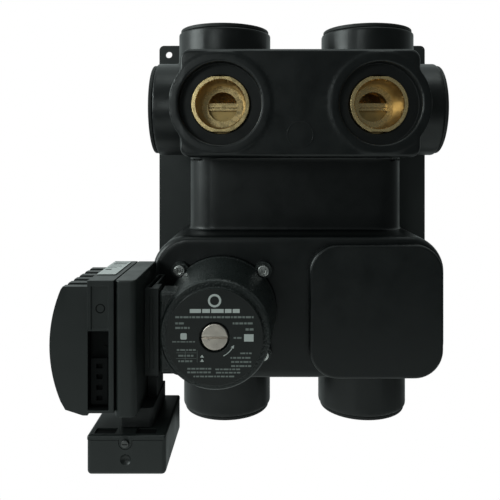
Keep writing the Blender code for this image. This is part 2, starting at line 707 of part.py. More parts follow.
def apply_modifiers():
    """Makes each piece a plain mesh with sharp edges marked, and removes the cutters."""
    sharp_angle = math.radians(35)
    graph = bpy.context.evaluated_depsgraph_get()
    meshes = {obj: bpy.data.meshes.new_from_object(obj.evaluated_get(graph)) for obj in PART.objects}
    for obj, mesh in meshes.items():
        merge_flat_faces(mesh)
        obj.modifiers.clear()
        obj.data = mesh
        mesh.shade_smooth()
        mesh.set_sharp_from_angle(angle=sharp_angle)
    for cutter in list(CUTTERS.objects):
        bpy.data.objects.remove(cutter)


front_shell()
rear_shell()
casing_screws()
foam_core()
blank_cover()
port_rings()
for valve_side, valve_sign in SIDES:
    valve(valve_side, valve_sign)
pipes()
circulator()
control_box()
terminal_box()
apply_modifiers()
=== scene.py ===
"""Looks of the wall-hung pump module of an underfloor heating manifold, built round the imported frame.

X runs to the right, Z runs up and the wall is the plane Y = 0. Lengths are millimetres, which MM turns into
metres, but for those of the lights and the floor, which are metres. "out" is a distance out from the wall,
so Y = -out.
"""

import math

import bmesh
import bpy
import numpy as np
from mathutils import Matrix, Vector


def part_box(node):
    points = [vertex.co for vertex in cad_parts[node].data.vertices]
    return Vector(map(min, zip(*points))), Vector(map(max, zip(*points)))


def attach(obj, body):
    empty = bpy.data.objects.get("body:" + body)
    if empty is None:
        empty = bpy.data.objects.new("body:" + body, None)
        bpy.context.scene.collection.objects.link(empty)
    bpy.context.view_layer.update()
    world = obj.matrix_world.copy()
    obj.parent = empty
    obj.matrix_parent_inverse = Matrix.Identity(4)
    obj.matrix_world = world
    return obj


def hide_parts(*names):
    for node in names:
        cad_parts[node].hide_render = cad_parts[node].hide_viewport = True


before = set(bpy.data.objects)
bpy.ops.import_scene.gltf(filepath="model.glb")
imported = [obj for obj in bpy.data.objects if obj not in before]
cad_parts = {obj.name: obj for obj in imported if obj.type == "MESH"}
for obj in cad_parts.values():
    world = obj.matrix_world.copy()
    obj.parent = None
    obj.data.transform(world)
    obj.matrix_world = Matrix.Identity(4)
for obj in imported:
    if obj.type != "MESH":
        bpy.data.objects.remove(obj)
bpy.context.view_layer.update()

import openvdb as vdb
from mathutils import Euler, Vector

MM = 0.001
SIDES = (("left", -1), ("right", 1))
MODULE = "module"


def node_box(node):
    """A node's limits in millimetres: (x, out, z), each as (low, high)."""
    low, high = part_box(node)
    return (
        (low[0] / MM, high[0] / MM),
        (-high[1] / MM, -low[1] / MM),
        (low[2] / MM, high[2] / MM),
    )


def middle_of(span):
    return (span[0] + span[1]) / 2


# Driving dimensions. They are the frame's, but for EAR_WIDTH: the ears are drawn wider than the frame's.
WALL = 3.0
GAP = 0.3
PLATE_HALF_WIDTH, PLATE_TOP, PLATE_BOTTOM, PLATE_THICKNESS = 126.5, 139.6, -140.0, 3.0
EAR_WIDTH, PLATE_SHOULDER = 21.0, 118.0
PLATE_HOLE_X, PLATE_HOLE_Z, PLATE_HOLE_RADIUS = 117.5, 131.0, 3.1
HEAD_HALF_WIDTH, HEAD_BOTTOM, HEAD_TOP, HEAD_FRONT = 89.3, 33.0, 113.5, 130.5
MIDDLE_HALF_WIDTH, MIDDLE_FRONT, MIDDLE_ROUND = 91.0, 74.0, 24.0
LOWER_HALF_WIDTH, LOWER_BOTTOM, LOWER_TOP, LOWER_FRONT = 114.5, -139.9, -28.0, 105.5
HEAD_CORNER, LOWER_CORNER, HEAD_FILLET, LOWER_FILLET = 8.0, 29.0, 3.0, 5.0
PORT_X, VALVE_Z = 59.5, 73.0
UPPER_PORT_OUT, LOWER_PORT_OUT, RISER_OUT = 70.5, 41.0, 54.0
STUB_RADIUS, TOP_RIM, SIDE_RIM, BOTTOM_RIM = 38.0, 134.7, 114.0, -181.4
FLUSH_RADIUS, FLUSH_FRONT = 30.8, 130.9
PARTING_Z = 31.0
POSTS = ((-102.5, -122.0, 103.5), (102.5, -122.0, 103.5), (0.0, 101.0, 128.5), (0.0, -14.0, 72.0))
POST_RADIUS = 5.0
PUMP_X, PUMP_Z = (middle_of(span) for span in (node_box("nameplate")[0], node_box("nameplate")[2]))
FLANGE_SCREW_OFFSET = 32.15
FLANGE_BACK, FLANGE_FRONT, MOTOR_FRONT = 106.3, 111.5, 170.0
BLANK_X, BLANK_Z = (middle_of(span) for span in (node_box("blank_cover")[0], node_box("blank_cover")[2]))
BLANK_HALF, BLANK_OPENING_HALF = 51.5, 40.0

FACING = {
    "front": Euler((math.radians(90), 0, 0)),
    "up": Euler((0, 0, 0)),
    "right": Euler((0, math.radians(90), 0)),
}


# Materials


class Nodes:
    """A node tree with short calls for adding and linking nodes."""

    def __init__(self, tree):
        self.tree = tree

    def add(self, kind, **settings):
        node = self.tree.nodes.new(kind)
        for name, value in settings.items():
            setattr(node, name, value)
        return node

    def link(self, source, target):
        self.tree.links.new(source, target)

    def noise(self, coordinates, scale, detail=4.0, roughness=0.55):
        node = self.add("ShaderNodeTexNoise")
        node.inputs["Scale"].default_value = scale
        node.inputs["Detail"].default_value = detail
        node.inputs["Roughness"].default_value = roughness
        self.link(coordinates, node.inputs["Vector"])
        return node.outputs["Fac"]

    def ranged(self, value, low, high, start=0.3, end=0.7):
        """value, where it runs from start to end, turned into low to high."""
        node = self.add("ShaderNodeMapRange")
        for name, number in (("From Min", start), ("From Max", end), ("To Min", low), ("To Max", high)):
            node.inputs[name].default_value = number
        self.link(value, node.inputs["Value"])
        return node.outputs["Result"]

    def mixed(self, share, first, second):
        node = self.add("ShaderNodeMix", data_type="RGBA")
        self.link(share, node.inputs["Factor"])
        node.inputs["A"].default_value = (*first, 1.0)
        node.inputs["B"].default_value = (*second, 1.0)
        return node.outputs["Result"]

    def bump(self, height, depth, below=None, strength=1.0):
        node = self.add("ShaderNodeBump")
        node.inputs["Distance"].default_value = depth * MM
        node.inputs["Strength"].default_value = strength
        self.link(height, node.inputs["Height"])
        if below:
            self.link(below, node.inputs["Normal"])
        return node.outputs["Normal"]


def new_material(name, metallic, specular=0.5):
    material = bpy.data.materials.new(name)
    material.use_nodes = True
    shader = material.node_tree.nodes["Principled BSDF"]
    shader.inputs["Metallic"].default_value = metallic
    shader.inputs["Specular IOR Level"].default_value = specular
    nodes = Nodes(material.node_tree)
    coordinates = nodes.add("ShaderNodeTexCoord").outputs["Object"]
    return material, shader, nodes, coordinates


def moulded(name, colour, roughness, grain=0.02, grain_scale=900.0, waves=0.06, tint=0.25, specular=0.5):
    """Moulded plastic or rubber: a fine grain, slow waves in the surface and slightly uneven gloss."""
    material, shader, nodes, place = new_material(name, 0.0, specular)
    paler = tuple(value * (1 + tint) for value in colour)
    cloud = nodes.noise(place, 22.0)
    nodes.link(nodes.mixed(cloud, colour, paler), shader.inputs["Base Color"])
    fine = nodes.noise(place, grain_scale, 2.0)
    gloss = nodes.noise(place, 60.0, 6.0)
    nodes.link(nodes.ranged(gloss, roughness - 0.05, roughness + 0.07), shader.inputs["Roughness"])
    slow = nodes.bump(nodes.noise(place, 16.0, 1.0), waves * 4)
    nodes.link(nodes.bump(fine, grain, below=slow), shader.inputs["Normal"])
    return material


def painted(name, colour, roughness, lumps, lump_scale):
    """Textured paint: close-set smooth lumps, with a painted highlight on their tops."""
    material, shader, nodes, place = new_material(name, 0.0)
    cells = nodes.add("ShaderNodeTexVoronoi", feature="SMOOTH_F1")
    cells.inputs["Scale"].default_value = lump_scale
    cells.inputs["Smoothness"].default_value = 0.9
    nodes.link(place, cells.inputs["Vector"])
    cell = cells.outputs["Distance"]
    # Painted highlight: the lump tops take a colour 1.9 times paler.
    paler = tuple(value * 1.9 for value in colour)
    shade = nodes.mixed(nodes.ranged(cell, 1.0, 0.0, 0.1, 0.7), colour, paler)
    nodes.link(shade, shader.inputs["Base Color"])
    gloss = nodes.noise(place, 300.0)
    nodes.link(nodes.ranged(gloss, roughness - 0.08, roughness + 0.1), shader.inputs["Roughness"])
    nodes.link(nodes.bump(nodes.ranged(cell, 1.0, 0.0, 0.0, 0.8), lumps), shader.inputs["Normal"])
    return material


def metal(name, colour, roughness, rings=0.0, ring_scale=1500.0, scratches=0.01, stain=0.85, metallic=1.0):
    """Bare metal, with turning marks round the piece's own axis where rings is above zero."""
    material, shader, nodes, place = new_material(name, metallic)
    darker = tuple(value * stain for value in colour)
    patches = nodes.ranged(nodes.noise(place, 70.0, 6.0), 0.0, 1.0)
    nodes.link(nodes.mixed(patches, colour, darker), shader.inputs["Base Color"])
    gloss = nodes.noise(place, 300.0, 2.0)
    nodes.link(nodes.ranged(gloss, roughness - 0.07, roughness + 0.09), shader.inputs["Roughness"])
    normal = nodes.bump(nodes.noise(place, 420.0, 2.0), scratches * 5, strength=0.2)
    if rings:
        wave = nodes.add("ShaderNodeTexWave", wave_type="RINGS", rings_direction="Z")
        wave.inputs["Scale"].default_value = ring_scale
        wave.inputs["Distortion"].default_value = 1.5
        nodes.link(place, wave.inputs["Vector"])
        normal = nodes.bump(wave.outputs["Fac"], rings, below=normal)
    nodes.link(normal, shader.inputs["Normal"])
    return material


MATERIALS = {
    "casing": moulded("casing", (0.0019, 0.0029, 0.0031), 0.35, grain=0.006),
    # The wall plate is the casing's plastic; its paler colour is painted light, for light that falls on it
    # from behind.
    "plate": moulded("plate", (0.012, 0.0145, 0.0142), 0.5, grain=0.02),
    "ring": moulded("ring", (0.0032, 0.0042, 0.0042), 0.52, grain=0.02),
    "foam": moulded("foam", (0.09, 0.09, 0.088), 0.9, grain=0.3, grain_scale=320.0),
    "rubber": moulded("rubber", (0.012, 0.012, 0.012), 0.68, grain=0.02),
    "box": moulded("box", (0.0085, 0.0108, 0.0103), 0.38, grain=0.02, grain_scale=1500.0),
    "box_dark": moulded("box_dark", (0.0042, 0.0054, 0.0054), 0.5, grain=0.02),
    # Near-black plastic: painted shade in the control box's slot (its lining and socket) and on the floors
    # of the lid's recesses; the ring mark on the control box is made of it too.
    "recess": moulded("recess", (0.0012, 0.0016, 0.0016), 0.7, grain=0.01, specular=0.15),
    "label": moulded("label", (0.62, 0.64, 0.63), 0.5, grain=0.004, tint=0.04, waves=0.01),
    "print_dark": moulded("print_dark", (0.05, 0.05, 0.052), 0.55, grain=0.002),
    "print_pale": moulded("print_pale", (0.17, 0.19, 0.18), 0.5, grain=0.002, tint=0.1, waves=0.0),
    "print_white": moulded("print_white", (0.50, 0.53, 0.51), 0.5, grain=0.002, tint=0.05, waves=0.0),
    "nameplate": moulded("nameplate", (0.0045, 0.0056, 0.0052), 0.42, grain=0.004, waves=0.01),
    "impeller": moulded("impeller", (0.50, 0.45, 0.34), 0.45, grain=0.01, tint=0.08),
    "ceramic": moulded("ceramic", (0.30, 0.30, 0.32), 0.25, grain=0.002, tint=0.06, waves=0.01),
    "board": moulded("board", (0.016, 0.12, 0.05), 0.4, grain=0.01),
    "motor": painted("motor", (0.0110, 0.0137, 0.0132), 0.33, 0.20, 760.0),
    "iron": painted("iron", (0.045, 0.043, 0.041), 0.62, 0.3, 420.0),
    "brass": metal("brass", (0.97, 0.72, 0.36), 0.25, scratches=0.003, stain=0.86, metallic=0.86),
    # A darker copy of the brass: painted shade for the hollows of the valve body and plug.
    "brass_painted_shade": metal("brass_painted_shade", (0.62, 0.43, 0.18), 0.34, scratches=0.006, stain=0.75),
    "brass_cast": metal("brass_cast", (0.72, 0.50, 0.21), 0.42, scratches=0.04, stain=0.75),
    "steel": metal("steel", (0.60, 0.60, 0.60), 0.3),
    "bright_steel": metal("bright_steel", (0.78, 0.78, 0.76), 0.27, rings=0.006),
    "dark_steel": metal("dark_steel", (0.13, 0.13, 0.13), 0.4),
    "laminations": metal("laminations", (0.30, 0.30, 0.31), 0.45),
    "nickel": metal("nickel", (0.84, 0.74, 0.66), 0.33, scratches=0.03, stain=0.72),
    "copper": metal("copper", (0.78, 0.38, 0.20), 0.36, rings=0.2, ring_scale=700.0),
}


# Making and placing shapes


def add_object(name, mesh):
    obj = bpy.data.objects.new(name, mesh)
    bpy.context.scene.collection.objects.link(obj)
    return obj


def from_bmesh(name, bm):
    bmesh.ops.recalc_face_normals(bm, faces=bm.faces)
    mesh = bpy.data.meshes.new(name)
    bm.to_mesh(mesh)
    bm.free()
    return add_object(name, mesh)


def bake_modifiers(obj):
    """The object's mesh becomes what its modifiers make of it."""
    bpy.context.view_layer.update()
    graph = bpy.context.evaluated_depsgraph_get()
    mesh = bpy.data.meshes.new_from_object(obj.evaluated_get(graph))
    obj.modifiers.clear()
    obj.data = mesh
    return obj


def combine(operation, obj, others):
    for other in others:
        boolean = obj.modifiers.new(operation, "BOOLEAN")
        boolean.operation = operation
        boolean.object = other
    bake_modifiers(obj)
    for other in others:
        bpy.data.objects.remove(other)
    return obj


def cut(obj, *others):
    return combine("DIFFERENCE", obj, others)


def join(obj, *others):
    return combine("UNION", obj, others)


def bevel(obj, width, segments=3, angle=30.0):
    modifier = obj.modifiers.new("bevel", "BEVEL")
    modifier.width = width * MM
    modifier.segments = segments
    modifier.limit_method = "ANGLE"
    modifier.angle_limit = math.radians(angle)
    modifier.use_clamp_overlap = True
    return bake_modifiers(obj)


def piece(obj, look, replaces=(), body=MODULE, smooth=40.0):
    """Gives a finished shape its material, shading and body."""
    obj.data.materials.clear()
    obj.data.materials.append(MATERIALS[look])
    obj.data.shade_smooth()
    obj.data.set_sharp_from_angle(angle=math.radians(smooth))
    weighted = obj.modifiers.new("normals", "WEIGHTED_NORMAL")
    weighted.keep_sharp = True
    if replaces:
        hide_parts(*replaces)
    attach(obj, body)
    return obj


def block(name, x, out, z):
    low = Vector((x[0], -out[1], z[0])) * MM
    high = Vector((x[1], -out[0], z[1])) * MM
    bm = bmesh.new()
    bmesh.ops.create_cube(bm, size=1.0)
    for vertex in bm.verts:
        vertex.co = (low + high) / 2 + vertex.co * (high - low)
    return from_bmesh(name, bm)


def place(obj, facing, at):
    obj.location = Vector(at) * MM
    obj.rotation_euler = FACING[facing]
    return obj


def softened(profile, radius, count=4):
    """A profile with each of its corners rounded, as far as its sides are long enough."""
    closed = profile[0][0] > 0
    points = [Vector(point) for point in profile]
    last = len(points) - 1
    result = []
    for i, corner in enumerate(points):
        if not closed and i in (0, last):
            result.append(corner)
            continue
        before, after = points[i - 1] - corner, points[(i + 1) % len(points)] - corner
        reach = min(radius, before.length * 0.45, after.length * 0.45)
        start, end = corner + before.normalized() * reach, corner + after.normalized() * reach
        for step in range(count + 1):
            share = step / count
            result.append(start.lerp(corner, share).lerp(corner.lerp(end, share), share))
    return result


def turned(name, profile, facing, at, steps=96, soft=0.4):
    """A profile of (radius, height) turned about an axis, closed into a ring if it starts off the axis."""
    points = softened(profile, soft) if soft else [Vector(point) for point in profile]
    closed = profile[0][0] > 0
    bm = bmesh.new()
    rings = []
    for radius, height in points:
        if radius < 1e-6:
            rings.append([bm.verts.new((0, 0, height * MM))] * steps)
            continue
        turn = [2 * math.pi * i / steps for i in range(steps)]
        circle = [(radius * MM * math.cos(a), radius * MM * math.sin(a), height * MM) for a in turn]
        rings.append([bm.verts.new(point) for point in circle])
    pairs = list(zip(rings, rings[1:])) + ([(rings[-1], rings[0])] if closed else [])
    for first, second in pairs:
        for i in range(steps):
            j = (i + 1) % steps
            corners = list(dict.fromkeys((first[i], first[j], second[j], second[i])))
            if len(corners) > 2:
                bm.faces.new(corners)
    return place(from_bmesh(name, bm), facing, at)


def rod(name, radius, facing, at, span, steps=96):
    low, high = span
    return turned(name, [(0, high), (radius, high), (radius, low), (0, low)], facing, at, steps, soft=0)


def arc(centre, radius, start, end, count):
    """Points along an arc of (x, z), between two angles in degrees."""
    angles = [math.radians(start + (end - start) * i / count) for i in range(count + 1)]
    return [(centre[0] + radius * math.cos(a), centre[1] + radius * math.sin(a)) for a in angles]


def rounded_square(x, z, half, corner, count=12):
    inner = half - corner
    points = []
    for start, sx, sz in ((0, 1, 1), (90, -1, 1), (180, -1, -1), (270, 1, -1)):
        points += arc((x + sx * inner, z + sz * inner), corner, start, start + 90, count)
    return points


def slab(name, outline, out):
    """An outline of (x, z) points, between two distances out from the wall."""
    bm = bmesh.new()
    rows = [[bm.verts.new((x * MM, -distance * MM, z * MM)) for x, z in outline] for distance in out]
    count = len(outline)
    for row in rows:
        bm.faces.new(row)
    for i in range(count):
        j = (i + 1) % count
        bm.faces.new((rows[0][i], rows[0][j], rows[1][j], rows[1][i]))
    return from_bmesh(name, bm)


def refined(node, name, width, look, segments=3, body=MODULE):
    """A copy of a node's shape with fine rounded edges, in its place."""
    bm = bmesh.new()
    bm.from_mesh(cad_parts[node].data)
    bmesh.ops.remove_doubles(bm, verts=bm.verts, dist=1e-6)
    bmesh.ops.dissolve_limit(bm, angle_limit=math.radians(0.5), verts=bm.verts, edges=bm.edges)
    obj = from_bmesh(name, bm)
    bevel(obj, width, segments)
    return piece(obj, look, (node,), body)


# Casing, as a signed distance on a regular grid


VOXEL = 0.9
FIELD_REACH = 3.0


def grid_axis(low, high):
    return np.arange(low, high + VOXEL, VOXEL, dtype=np.float32)


GRID_LOW = (-118.5, -2.0, -185.5)
GRID_X = grid_axis(GRID_LOW[0], 118.5)[:, None, None]
GRID_OUT = grid_axis(GRID_LOW[1], 134.5)[None, :, None]
GRID_Z = grid_axis(GRID_LOW[2], 138.5)[None, None, :]


def rounded_rectangle(a, b, half_a, half_b, corner):
    a, b = np.abs(a) - half_a + corner, np.abs(b) - half_b + corner
    return np.minimum(np.maximum(a, b), 0) + np.hypot(np.maximum(a, 0), np.maximum(b, 0)) - corner


def between(values, low, high):
    return np.abs(values - (low + high) / 2) - (high - low) / 2


def meet(a, b, edge):
    """Where both fields are inside, with the edge between them rounded."""
    a, b = a + edge, b + edge
    return np.minimum(np.maximum(a, b), 0) + np.hypot(np.maximum(a, 0), np.maximum(b, 0)) - edge


def merge(a, b, fillet):
    """Where either field is inside, with a fillet in the corner between them."""
    return -meet(-a, -b, fillet) if fillet else np.minimum(a, b)


def casing_fields():
    """The casing's outer form and its hollow, as fields that are negative inside."""
    mirrored = np.abs(GRID_X) - PORT_X
    head_height, lower_height = HEAD_TOP - HEAD_BOTTOM, LOWER_TOP - LOWER_BOTTOM
    head_flat = rounded_rectangle(
        GRID_X, GRID_Z - (HEAD_TOP + HEAD_BOTTOM) / 2, HEAD_HALF_WIDTH, head_height / 2, HEAD_CORNER
    )
    middle_flat = rounded_rectangle(
        GRID_X, GRID_OUT - MIDDLE_FRONT + 50, MIDDLE_HALF_WIDTH, 50, MIDDLE_ROUND
    )
    lower_flat = rounded_rectangle(
        GRID_X, GRID_Z - (LOWER_TOP + LOWER_BOTTOM) / 2, LOWER_HALF_WIDTH, lower_height / 2, LOWER_CORNER
    )
    behind = -20.0
    outer = meet(head_flat, between(GRID_OUT, behind, HEAD_FRONT), HEAD_FILLET)
    outer = merge(outer, meet(middle_flat, between(GRID_Z, LOWER_TOP - 6, HEAD_BOTTOM + 6), 0.5), 1.5)
    outer = merge(outer, meet(lower_flat, between(GRID_OUT, behind, LOWER_FRONT), LOWER_FILLET), 2.5)
    upright = np.hypot(mirrored, GRID_OUT - UPPER_PORT_OUT)
    downward = np.hypot(mirrored, GRID_OUT - LOWER_PORT_OUT)
    forward = np.hypot(mirrored, GRID_Z - VALVE_Z)
    sideways = np.hypot(GRID_OUT - UPPER_PORT_OUT, GRID_Z - VALVE_Z)
    rim_edge = 1.2
    stubs = (
        meet(upright - STUB_RADIUS, between(GRID_Z, VALVE_Z, TOP_RIM), rim_edge),
        meet(downward - STUB_RADIUS, between(GRID_Z, BOTTOM_RIM, -110), rim_edge),
        meet(forward - STUB_RADIUS, between(GRID_OUT, 60, FLUSH_FRONT), 0.4),
        meet(sideways - STUB_RADIUS, between(GRID_X, -SIDE_RIM, SIDE_RIM), rim_edge),
    )
    for stub in stubs:
        outer = merge(outer, stub, 1.5)
    bore = STUB_RADIUS - WALL
    beyond = 20.0
    hollow = outer + WALL
    for tunnel in (
        np.maximum(upright - bore, between(GRID_Z, VALVE_Z, TOP_RIM + beyond)),
        np.maximum(downward - bore, between(GRID_Z, BOTTOM_RIM - beyond, -110)),
        np.maximum(sideways - bore, between(GRID_X, -SIDE_RIM - beyond, SIDE_RIM + beyond)),
    ):
        hollow = np.minimum(hollow, tunnel)
    back_wall = 2 * WALL
    return outer, np.maximum(hollow, back_wall - GRID_OUT)


def behind_parting(gap):
    upper = np.maximum(GRID_OUT - UPPER_PORT_OUT - gap, PARTING_Z - gap - GRID_Z)
    return np.minimum(upper, GRID_OUT - LOWER_PORT_OUT - gap)


def screw_places():
    step = FLANGE_SCREW_OFFSET
    return [(PUMP_X + a * step, PUMP_Z + b * step) for a, b in ((-1, 1), (1, 1), (1, -1), (-1, -1))]


def surface(name, field):
    """The mesh where a field is zero."""
    grid = vdb.FloatGrid(background=FIELD_REACH)
    grid.copyFromArray(np.ascontiguousarray(np.clip(field, -FIELD_REACH, FIELD_REACH), dtype=np.float32))
    points, triangles, quads = grid.convertToPolygons(isovalue=0.0, adaptivity=0.06)
    points = (points * VOXEL + np.array(GRID_LOW)) * MM
    points[:, 1] *= -1
    mesh = bpy.data.meshes.new(name)
    mesh.from_pydata(points.tolist(), [], triangles.tolist() + quads.tolist())
    bm = bmesh.new()
    bm.from_mesh(mesh)
    bmesh.ops.remove_doubles(bm, verts=bm.verts, dist=1e-6)
    bpy.data.meshes.remove(mesh)
    return from_bmesh(name, bm)


def casing():
    outer, hollow = casing_fields()
    front = np.maximum(outer, -hollow)
    for x, z, end in POSTS:
        across = np.hypot(GRID_X - x, GRID_Z - z)
        front = np.minimum(front, np.maximum(across - POST_RADIUS, between(GRID_OUT, 6.3, end)))
        front = np.maximum(front, -np.maximum(across - 2.2, GRID_OUT - 24))
    front = np.maximum(front, -behind_parting(GAP))
    holes = [(np.hypot(np.abs(GRID_X) - PORT_X, GRID_Z - VALVE_Z) - FLUSH_RADIUS, 118, 0.5)]
    holes.append((np.hypot(GRID_X - PUMP_X, GRID_Z - PUMP_Z) - 41.5, 90, 0.8))
    holes += [(np.hypot(GRID_X - x, GRID_Z - z) - 3.2, 90, 0.8) for x, z in screw_places()]
    half = BLANK_OPENING_HALF
    holes.append((rounded_rectangle(GRID_X - BLANK_X, GRID_Z - BLANK_Z, half, half, 14.0), 90, 0.8))
    for flat, start, edge in holes:
        front = meet(front, -np.maximum(flat, start - GRID_OUT), edge)
    piece(surface("front_casing", front), "casing", ("front_shell",), smooth=50.0)

    rear = np.maximum(np.maximum(outer, -hollow), behind_parting(-GAP))
    rear = np.maximum(rear, PLATE_THICKNESS - 0.6 - GRID_OUT)
    for x, z, _ in POSTS:
        rear = np.maximum(rear, 2.4 - np.hypot(GRID_X - x, GRID_Z - z))
    piece(surface("rear_casing", rear), "casing", ("rear_shell",), smooth=50.0)


def wall_plate():
    """The flat plate behind the casing, with an ear at each upper corner and a hole near each corner."""
    half, corner = PLATE_HALF_WIDTH, 4.5
    right = [*arc((half - corner, PLATE_BOTTOM + corner), corner, 270, 360, 8)]
    right += arc((half - corner, PLATE_TOP - corner), corner, 0, 90, 8)
    ear_inner = half - EAR_WIDTH
    right += [(ear_inner, PLATE_TOP), (ear_inner, PLATE_SHOULDER)]
    left = [(-x, z) for x, z in reversed(right)]
    plate = slab("wall_plate", right + left, (0, PLATE_THICKNESS))
    holes = []
    for x in (-PLATE_HOLE_X, PLATE_HOLE_X):
        for z in (-PLATE_HOLE_Z, PLATE_HOLE_Z):
            holes.append(rod("hole", PLATE_HOLE_RADIUS, "front", (x, 0, z), (-5, 10), steps=48))
    for x, z, _ in POSTS:
        holes.append(rod("counterbore", 4.5, "front", (x, 0, z), (-5, 3.2), steps=48))
    cut(plate, *holes)
    # Painted light: the plate takes the paler copy of the casing's plastic.
    piece(bevel(plate, 0.4, 2), "plate", ("rear_shell",))


def mould_mark():
    """A thin raised ring on the head, low in its middle."""
    top, sunk = HEAD_FRONT + 0.25, HEAD_FRONT - 0.2
    profile = [(9.2, top), (10, top), (10, sunk), (9.2, sunk)]
    piece(turned("mould_mark", profile, "front", (0, 0, 50), soft=0.1), "casing", ("front_shell",))


def blank_cover():
    """The cover of the empty second pump bay: a plate with a round front edge and a hollow skirt."""
    face = 113.5
    outline = rounded_square(BLANK_X, BLANK_Z, BLANK_HALF, 22.0)
    cover = slab("bay_cover", outline, (LOWER_FRONT + GAP, face))
    skirt = BLANK_OPENING_HALF - GAP
    join(cover, slab("skirt", rounded_square(BLANK_X, BLANK_Z, skirt, 13.7), (98, 108)))
    cut(cover, slab("hollow", rounded_square(BLANK_X, BLANK_Z, skirt - 2.5, 11.5), (90, 110.5)))
    bm = bmesh.new()
    bm.from_mesh(cover.data)
    on_face = [e for e in bm.edges if all(abs(v.co.y + face * MM) < 1e-6 for v in e.verts)]
    rim = [e for e in on_face if len(e.link_faces) == 2 and e.calc_face_angle(0) > 0.5]
    bmesh.ops.bevel(bm, geom=rim, offset=2.2 * MM, segments=6, profile=0.5, affect="EDGES")
    bm.to_mesh(cover.data)
    bm.free()
    piece(bevel(cover, 0.4, 2), "casing", ("blank_cover",))


def end_rings():
    """A lip on the rim of each insulated stub, with a skirt inside it."""

    def end_ring(name, facing, at, rim, outward):
        lip, seat, tail = (rim + outward * d for d in (3.3, GAP, -15))
        profile = [(29, lip), (36.4, lip), (36.4, seat), (34.7, seat), (34.7, tail), (29, tail)]
        piece(turned(f"{name}_fine", profile, facing, at, soft=0.9), "ring", (name,))

    for side, sign in SIDES:
        x = sign * PORT_X
        end_ring(f"top_ring_{side}", "up", (x, -UPPER_PORT_OUT, 0), TOP_RIM, 1)
        end_ring(f"side_ring_{side}", "right", (0, -UPPER_PORT_OUT, VALVE_Z), sign * SIDE_RIM, sign)
        end_ring(f"bottom_ring_{side}", "up", (x, -LOWER_PORT_OUT, 0), BOTTOM_RIM, -1)


# Valves


def paint_shade_inside(obj, axis, radii, depths, front_from=0.0):
    """Gives the faces between these radii and distances out a darker brass: painted shade in the valve's
    hollows.

    A face that looks to the front keeps the bright brass if it stands front_from or more out.
    """
    obj.data.materials.append(MATERIALS["brass_painted_shade"])
    bpy.context.view_layer.update()
    turn = obj.matrix_world.to_3x3()
    for face in obj.data.polygons:
        centre = obj.matrix_world @ face.center / MM
        radius = math.hypot(centre.x - axis[0], centre.z - axis[2])
        inside = radii[0] <= radius <= radii[1] and depths[0] <= -centre.y <= depths[1]
        if inside and ((turn @ face.normal).y > -0.7 or -centre.y < front_from):
            face.material_index = 1


def valve(side, sign):
    """A three-way valve: brass body, turning plug with a grooved key bar, collar and rear cap."""
    x = sign * PORT_X
    axis = (x, 0, VALVE_Z)
    body = turned(
        f"three_way_valve_{side}",
        [(0, 124.5), (21.75, 124.5), (21.75, 108), (26, 108), (26, 34), (0, 34)],
        "front", axis,
    )
    outward = (59.5, 107) if sign > 0 else (-107, -59.5)
    join(
        body,
        rod("branch", 21, "up", (x, -UPPER_PORT_OUT, 0), (VALVE_Z, 128), 64),
        rod("branch", 21, "right", (0, -UPPER_PORT_OUT, VALVE_Z), outward, 64),
        rod("branch", 17, "up", (x, -RISER_OUT, 0), (HEAD_BOTTOM, VALVE_Z), 64),
    )
    chamber = [(0, 130), (19.4, 130), (18.9, 124.5), (18.0, 121.8), (16.4, 98)]
    chamber += [(11.7, 98), (11.7, 95.5), (20.8, 95.5), (20.8, 30), (0, 30)]
    far = (59.5, 110) if sign > 0 else (-110, -59.5)
    flats = [
        block("flat", (x - 30, x + 30), (108.5, 130), (VALVE_Z + low, VALVE_Z + high))
        for low, high in ((20.6, 30), (-30, -20.6))
    ]
    cut(
        body,
        turned("chamber", chamber, "front", axis, soft=0),
        rod("top_bore", 14, "up", (x, -UPPER_PORT_OUT, 0), (VALVE_Z, 130), 64),
        rod("side_bore", 14, "right", (0, -UPPER_PORT_OUT, VALVE_Z), far, 64),
        rod("down_bore", 12.5, "up", (x, -RISER_OUT, 0), (30, VALVE_Z), 64),
        *flats,
    )
    body = piece(bevel(body, 0.3, 2), "brass", (f"valve_body_{side}",))
    # Painted shade: the funnel wall takes the darker brass.
    paint_shade_inside(body, axis, (16.0, 19.0), (98.4, 123.5))

    plug = turned(
        f"turning_plug_{side}",
        [(11.7, 95.2), (20.5, 95.2), (20.5, 37), (15.5, 37), (15.5, 91), (11.7, 91)],
        "front", axis, soft=0.3,
    )
    # The frame's key bar is narrower, and it has no half-round face below the bar.
    key = block("key", (x - 14, x + 14), (90, 94.6), (VALVE_Z - 2.6, VALVE_Z + 3.2))
    groove = block("groove", (x - 15, x + 15), (92.0, 96), (VALVE_Z - 1.2, VALVE_Z - 0.1))
    lower_face = rod("lower_face", 15.7, "front", axis, (88.4, 90.4), 96)
    cut(lower_face, block("upper_half", (x - 20, x + 20), (85, 95), (VALVE_Z - 1.5, VALVE_Z + 20)))
    join(plug, cut(key, groove), lower_face)
    inward = (59.5, 90) if sign > 0 else (-90, -59.5)
    cut(
        plug,
        rod("window", 12, "up", (x, -UPPER_PORT_OUT, 0), (VALVE_Z, 110), 64),
        rod("window", 12, "right", (0, -UPPER_PORT_OUT, VALVE_Z), inward, 64),
        rod("window", 11, "up", (x, -RISER_OUT, 0), (40, VALVE_Z), 64),
    )
    plug = piece(bevel(plug, 0.25, 2), "brass", (f"valve_plug_{side}",), body=f"valve_plug_{side}")
    # Painted shade: the plug's inside and the half-round face below its key bar take the darker brass.
    paint_shade_inside(plug, axis, (0.0, 16.0), (30.0, 94.2), 91.0)

    collar = [(31.2, 127.2), (34, 127.2), (34, 110), (22.2, 110), (22.2, 120), (31.2, 120)]
    piece(turned(f"collar_{side}_fine", collar, "front", axis, soft=0.7), "ring", (f"flush_collar_{side}",))
    cap = [(0, 36.7), (17, 36.7), (17, 33.7), (26, 33.7), (26, 28), (0, 28)]
    piece(turned(f"end_cap_{side}", cap, "front", axis, soft=0.6), "brass", (f"valve_cap_{side}",))


# Circulator


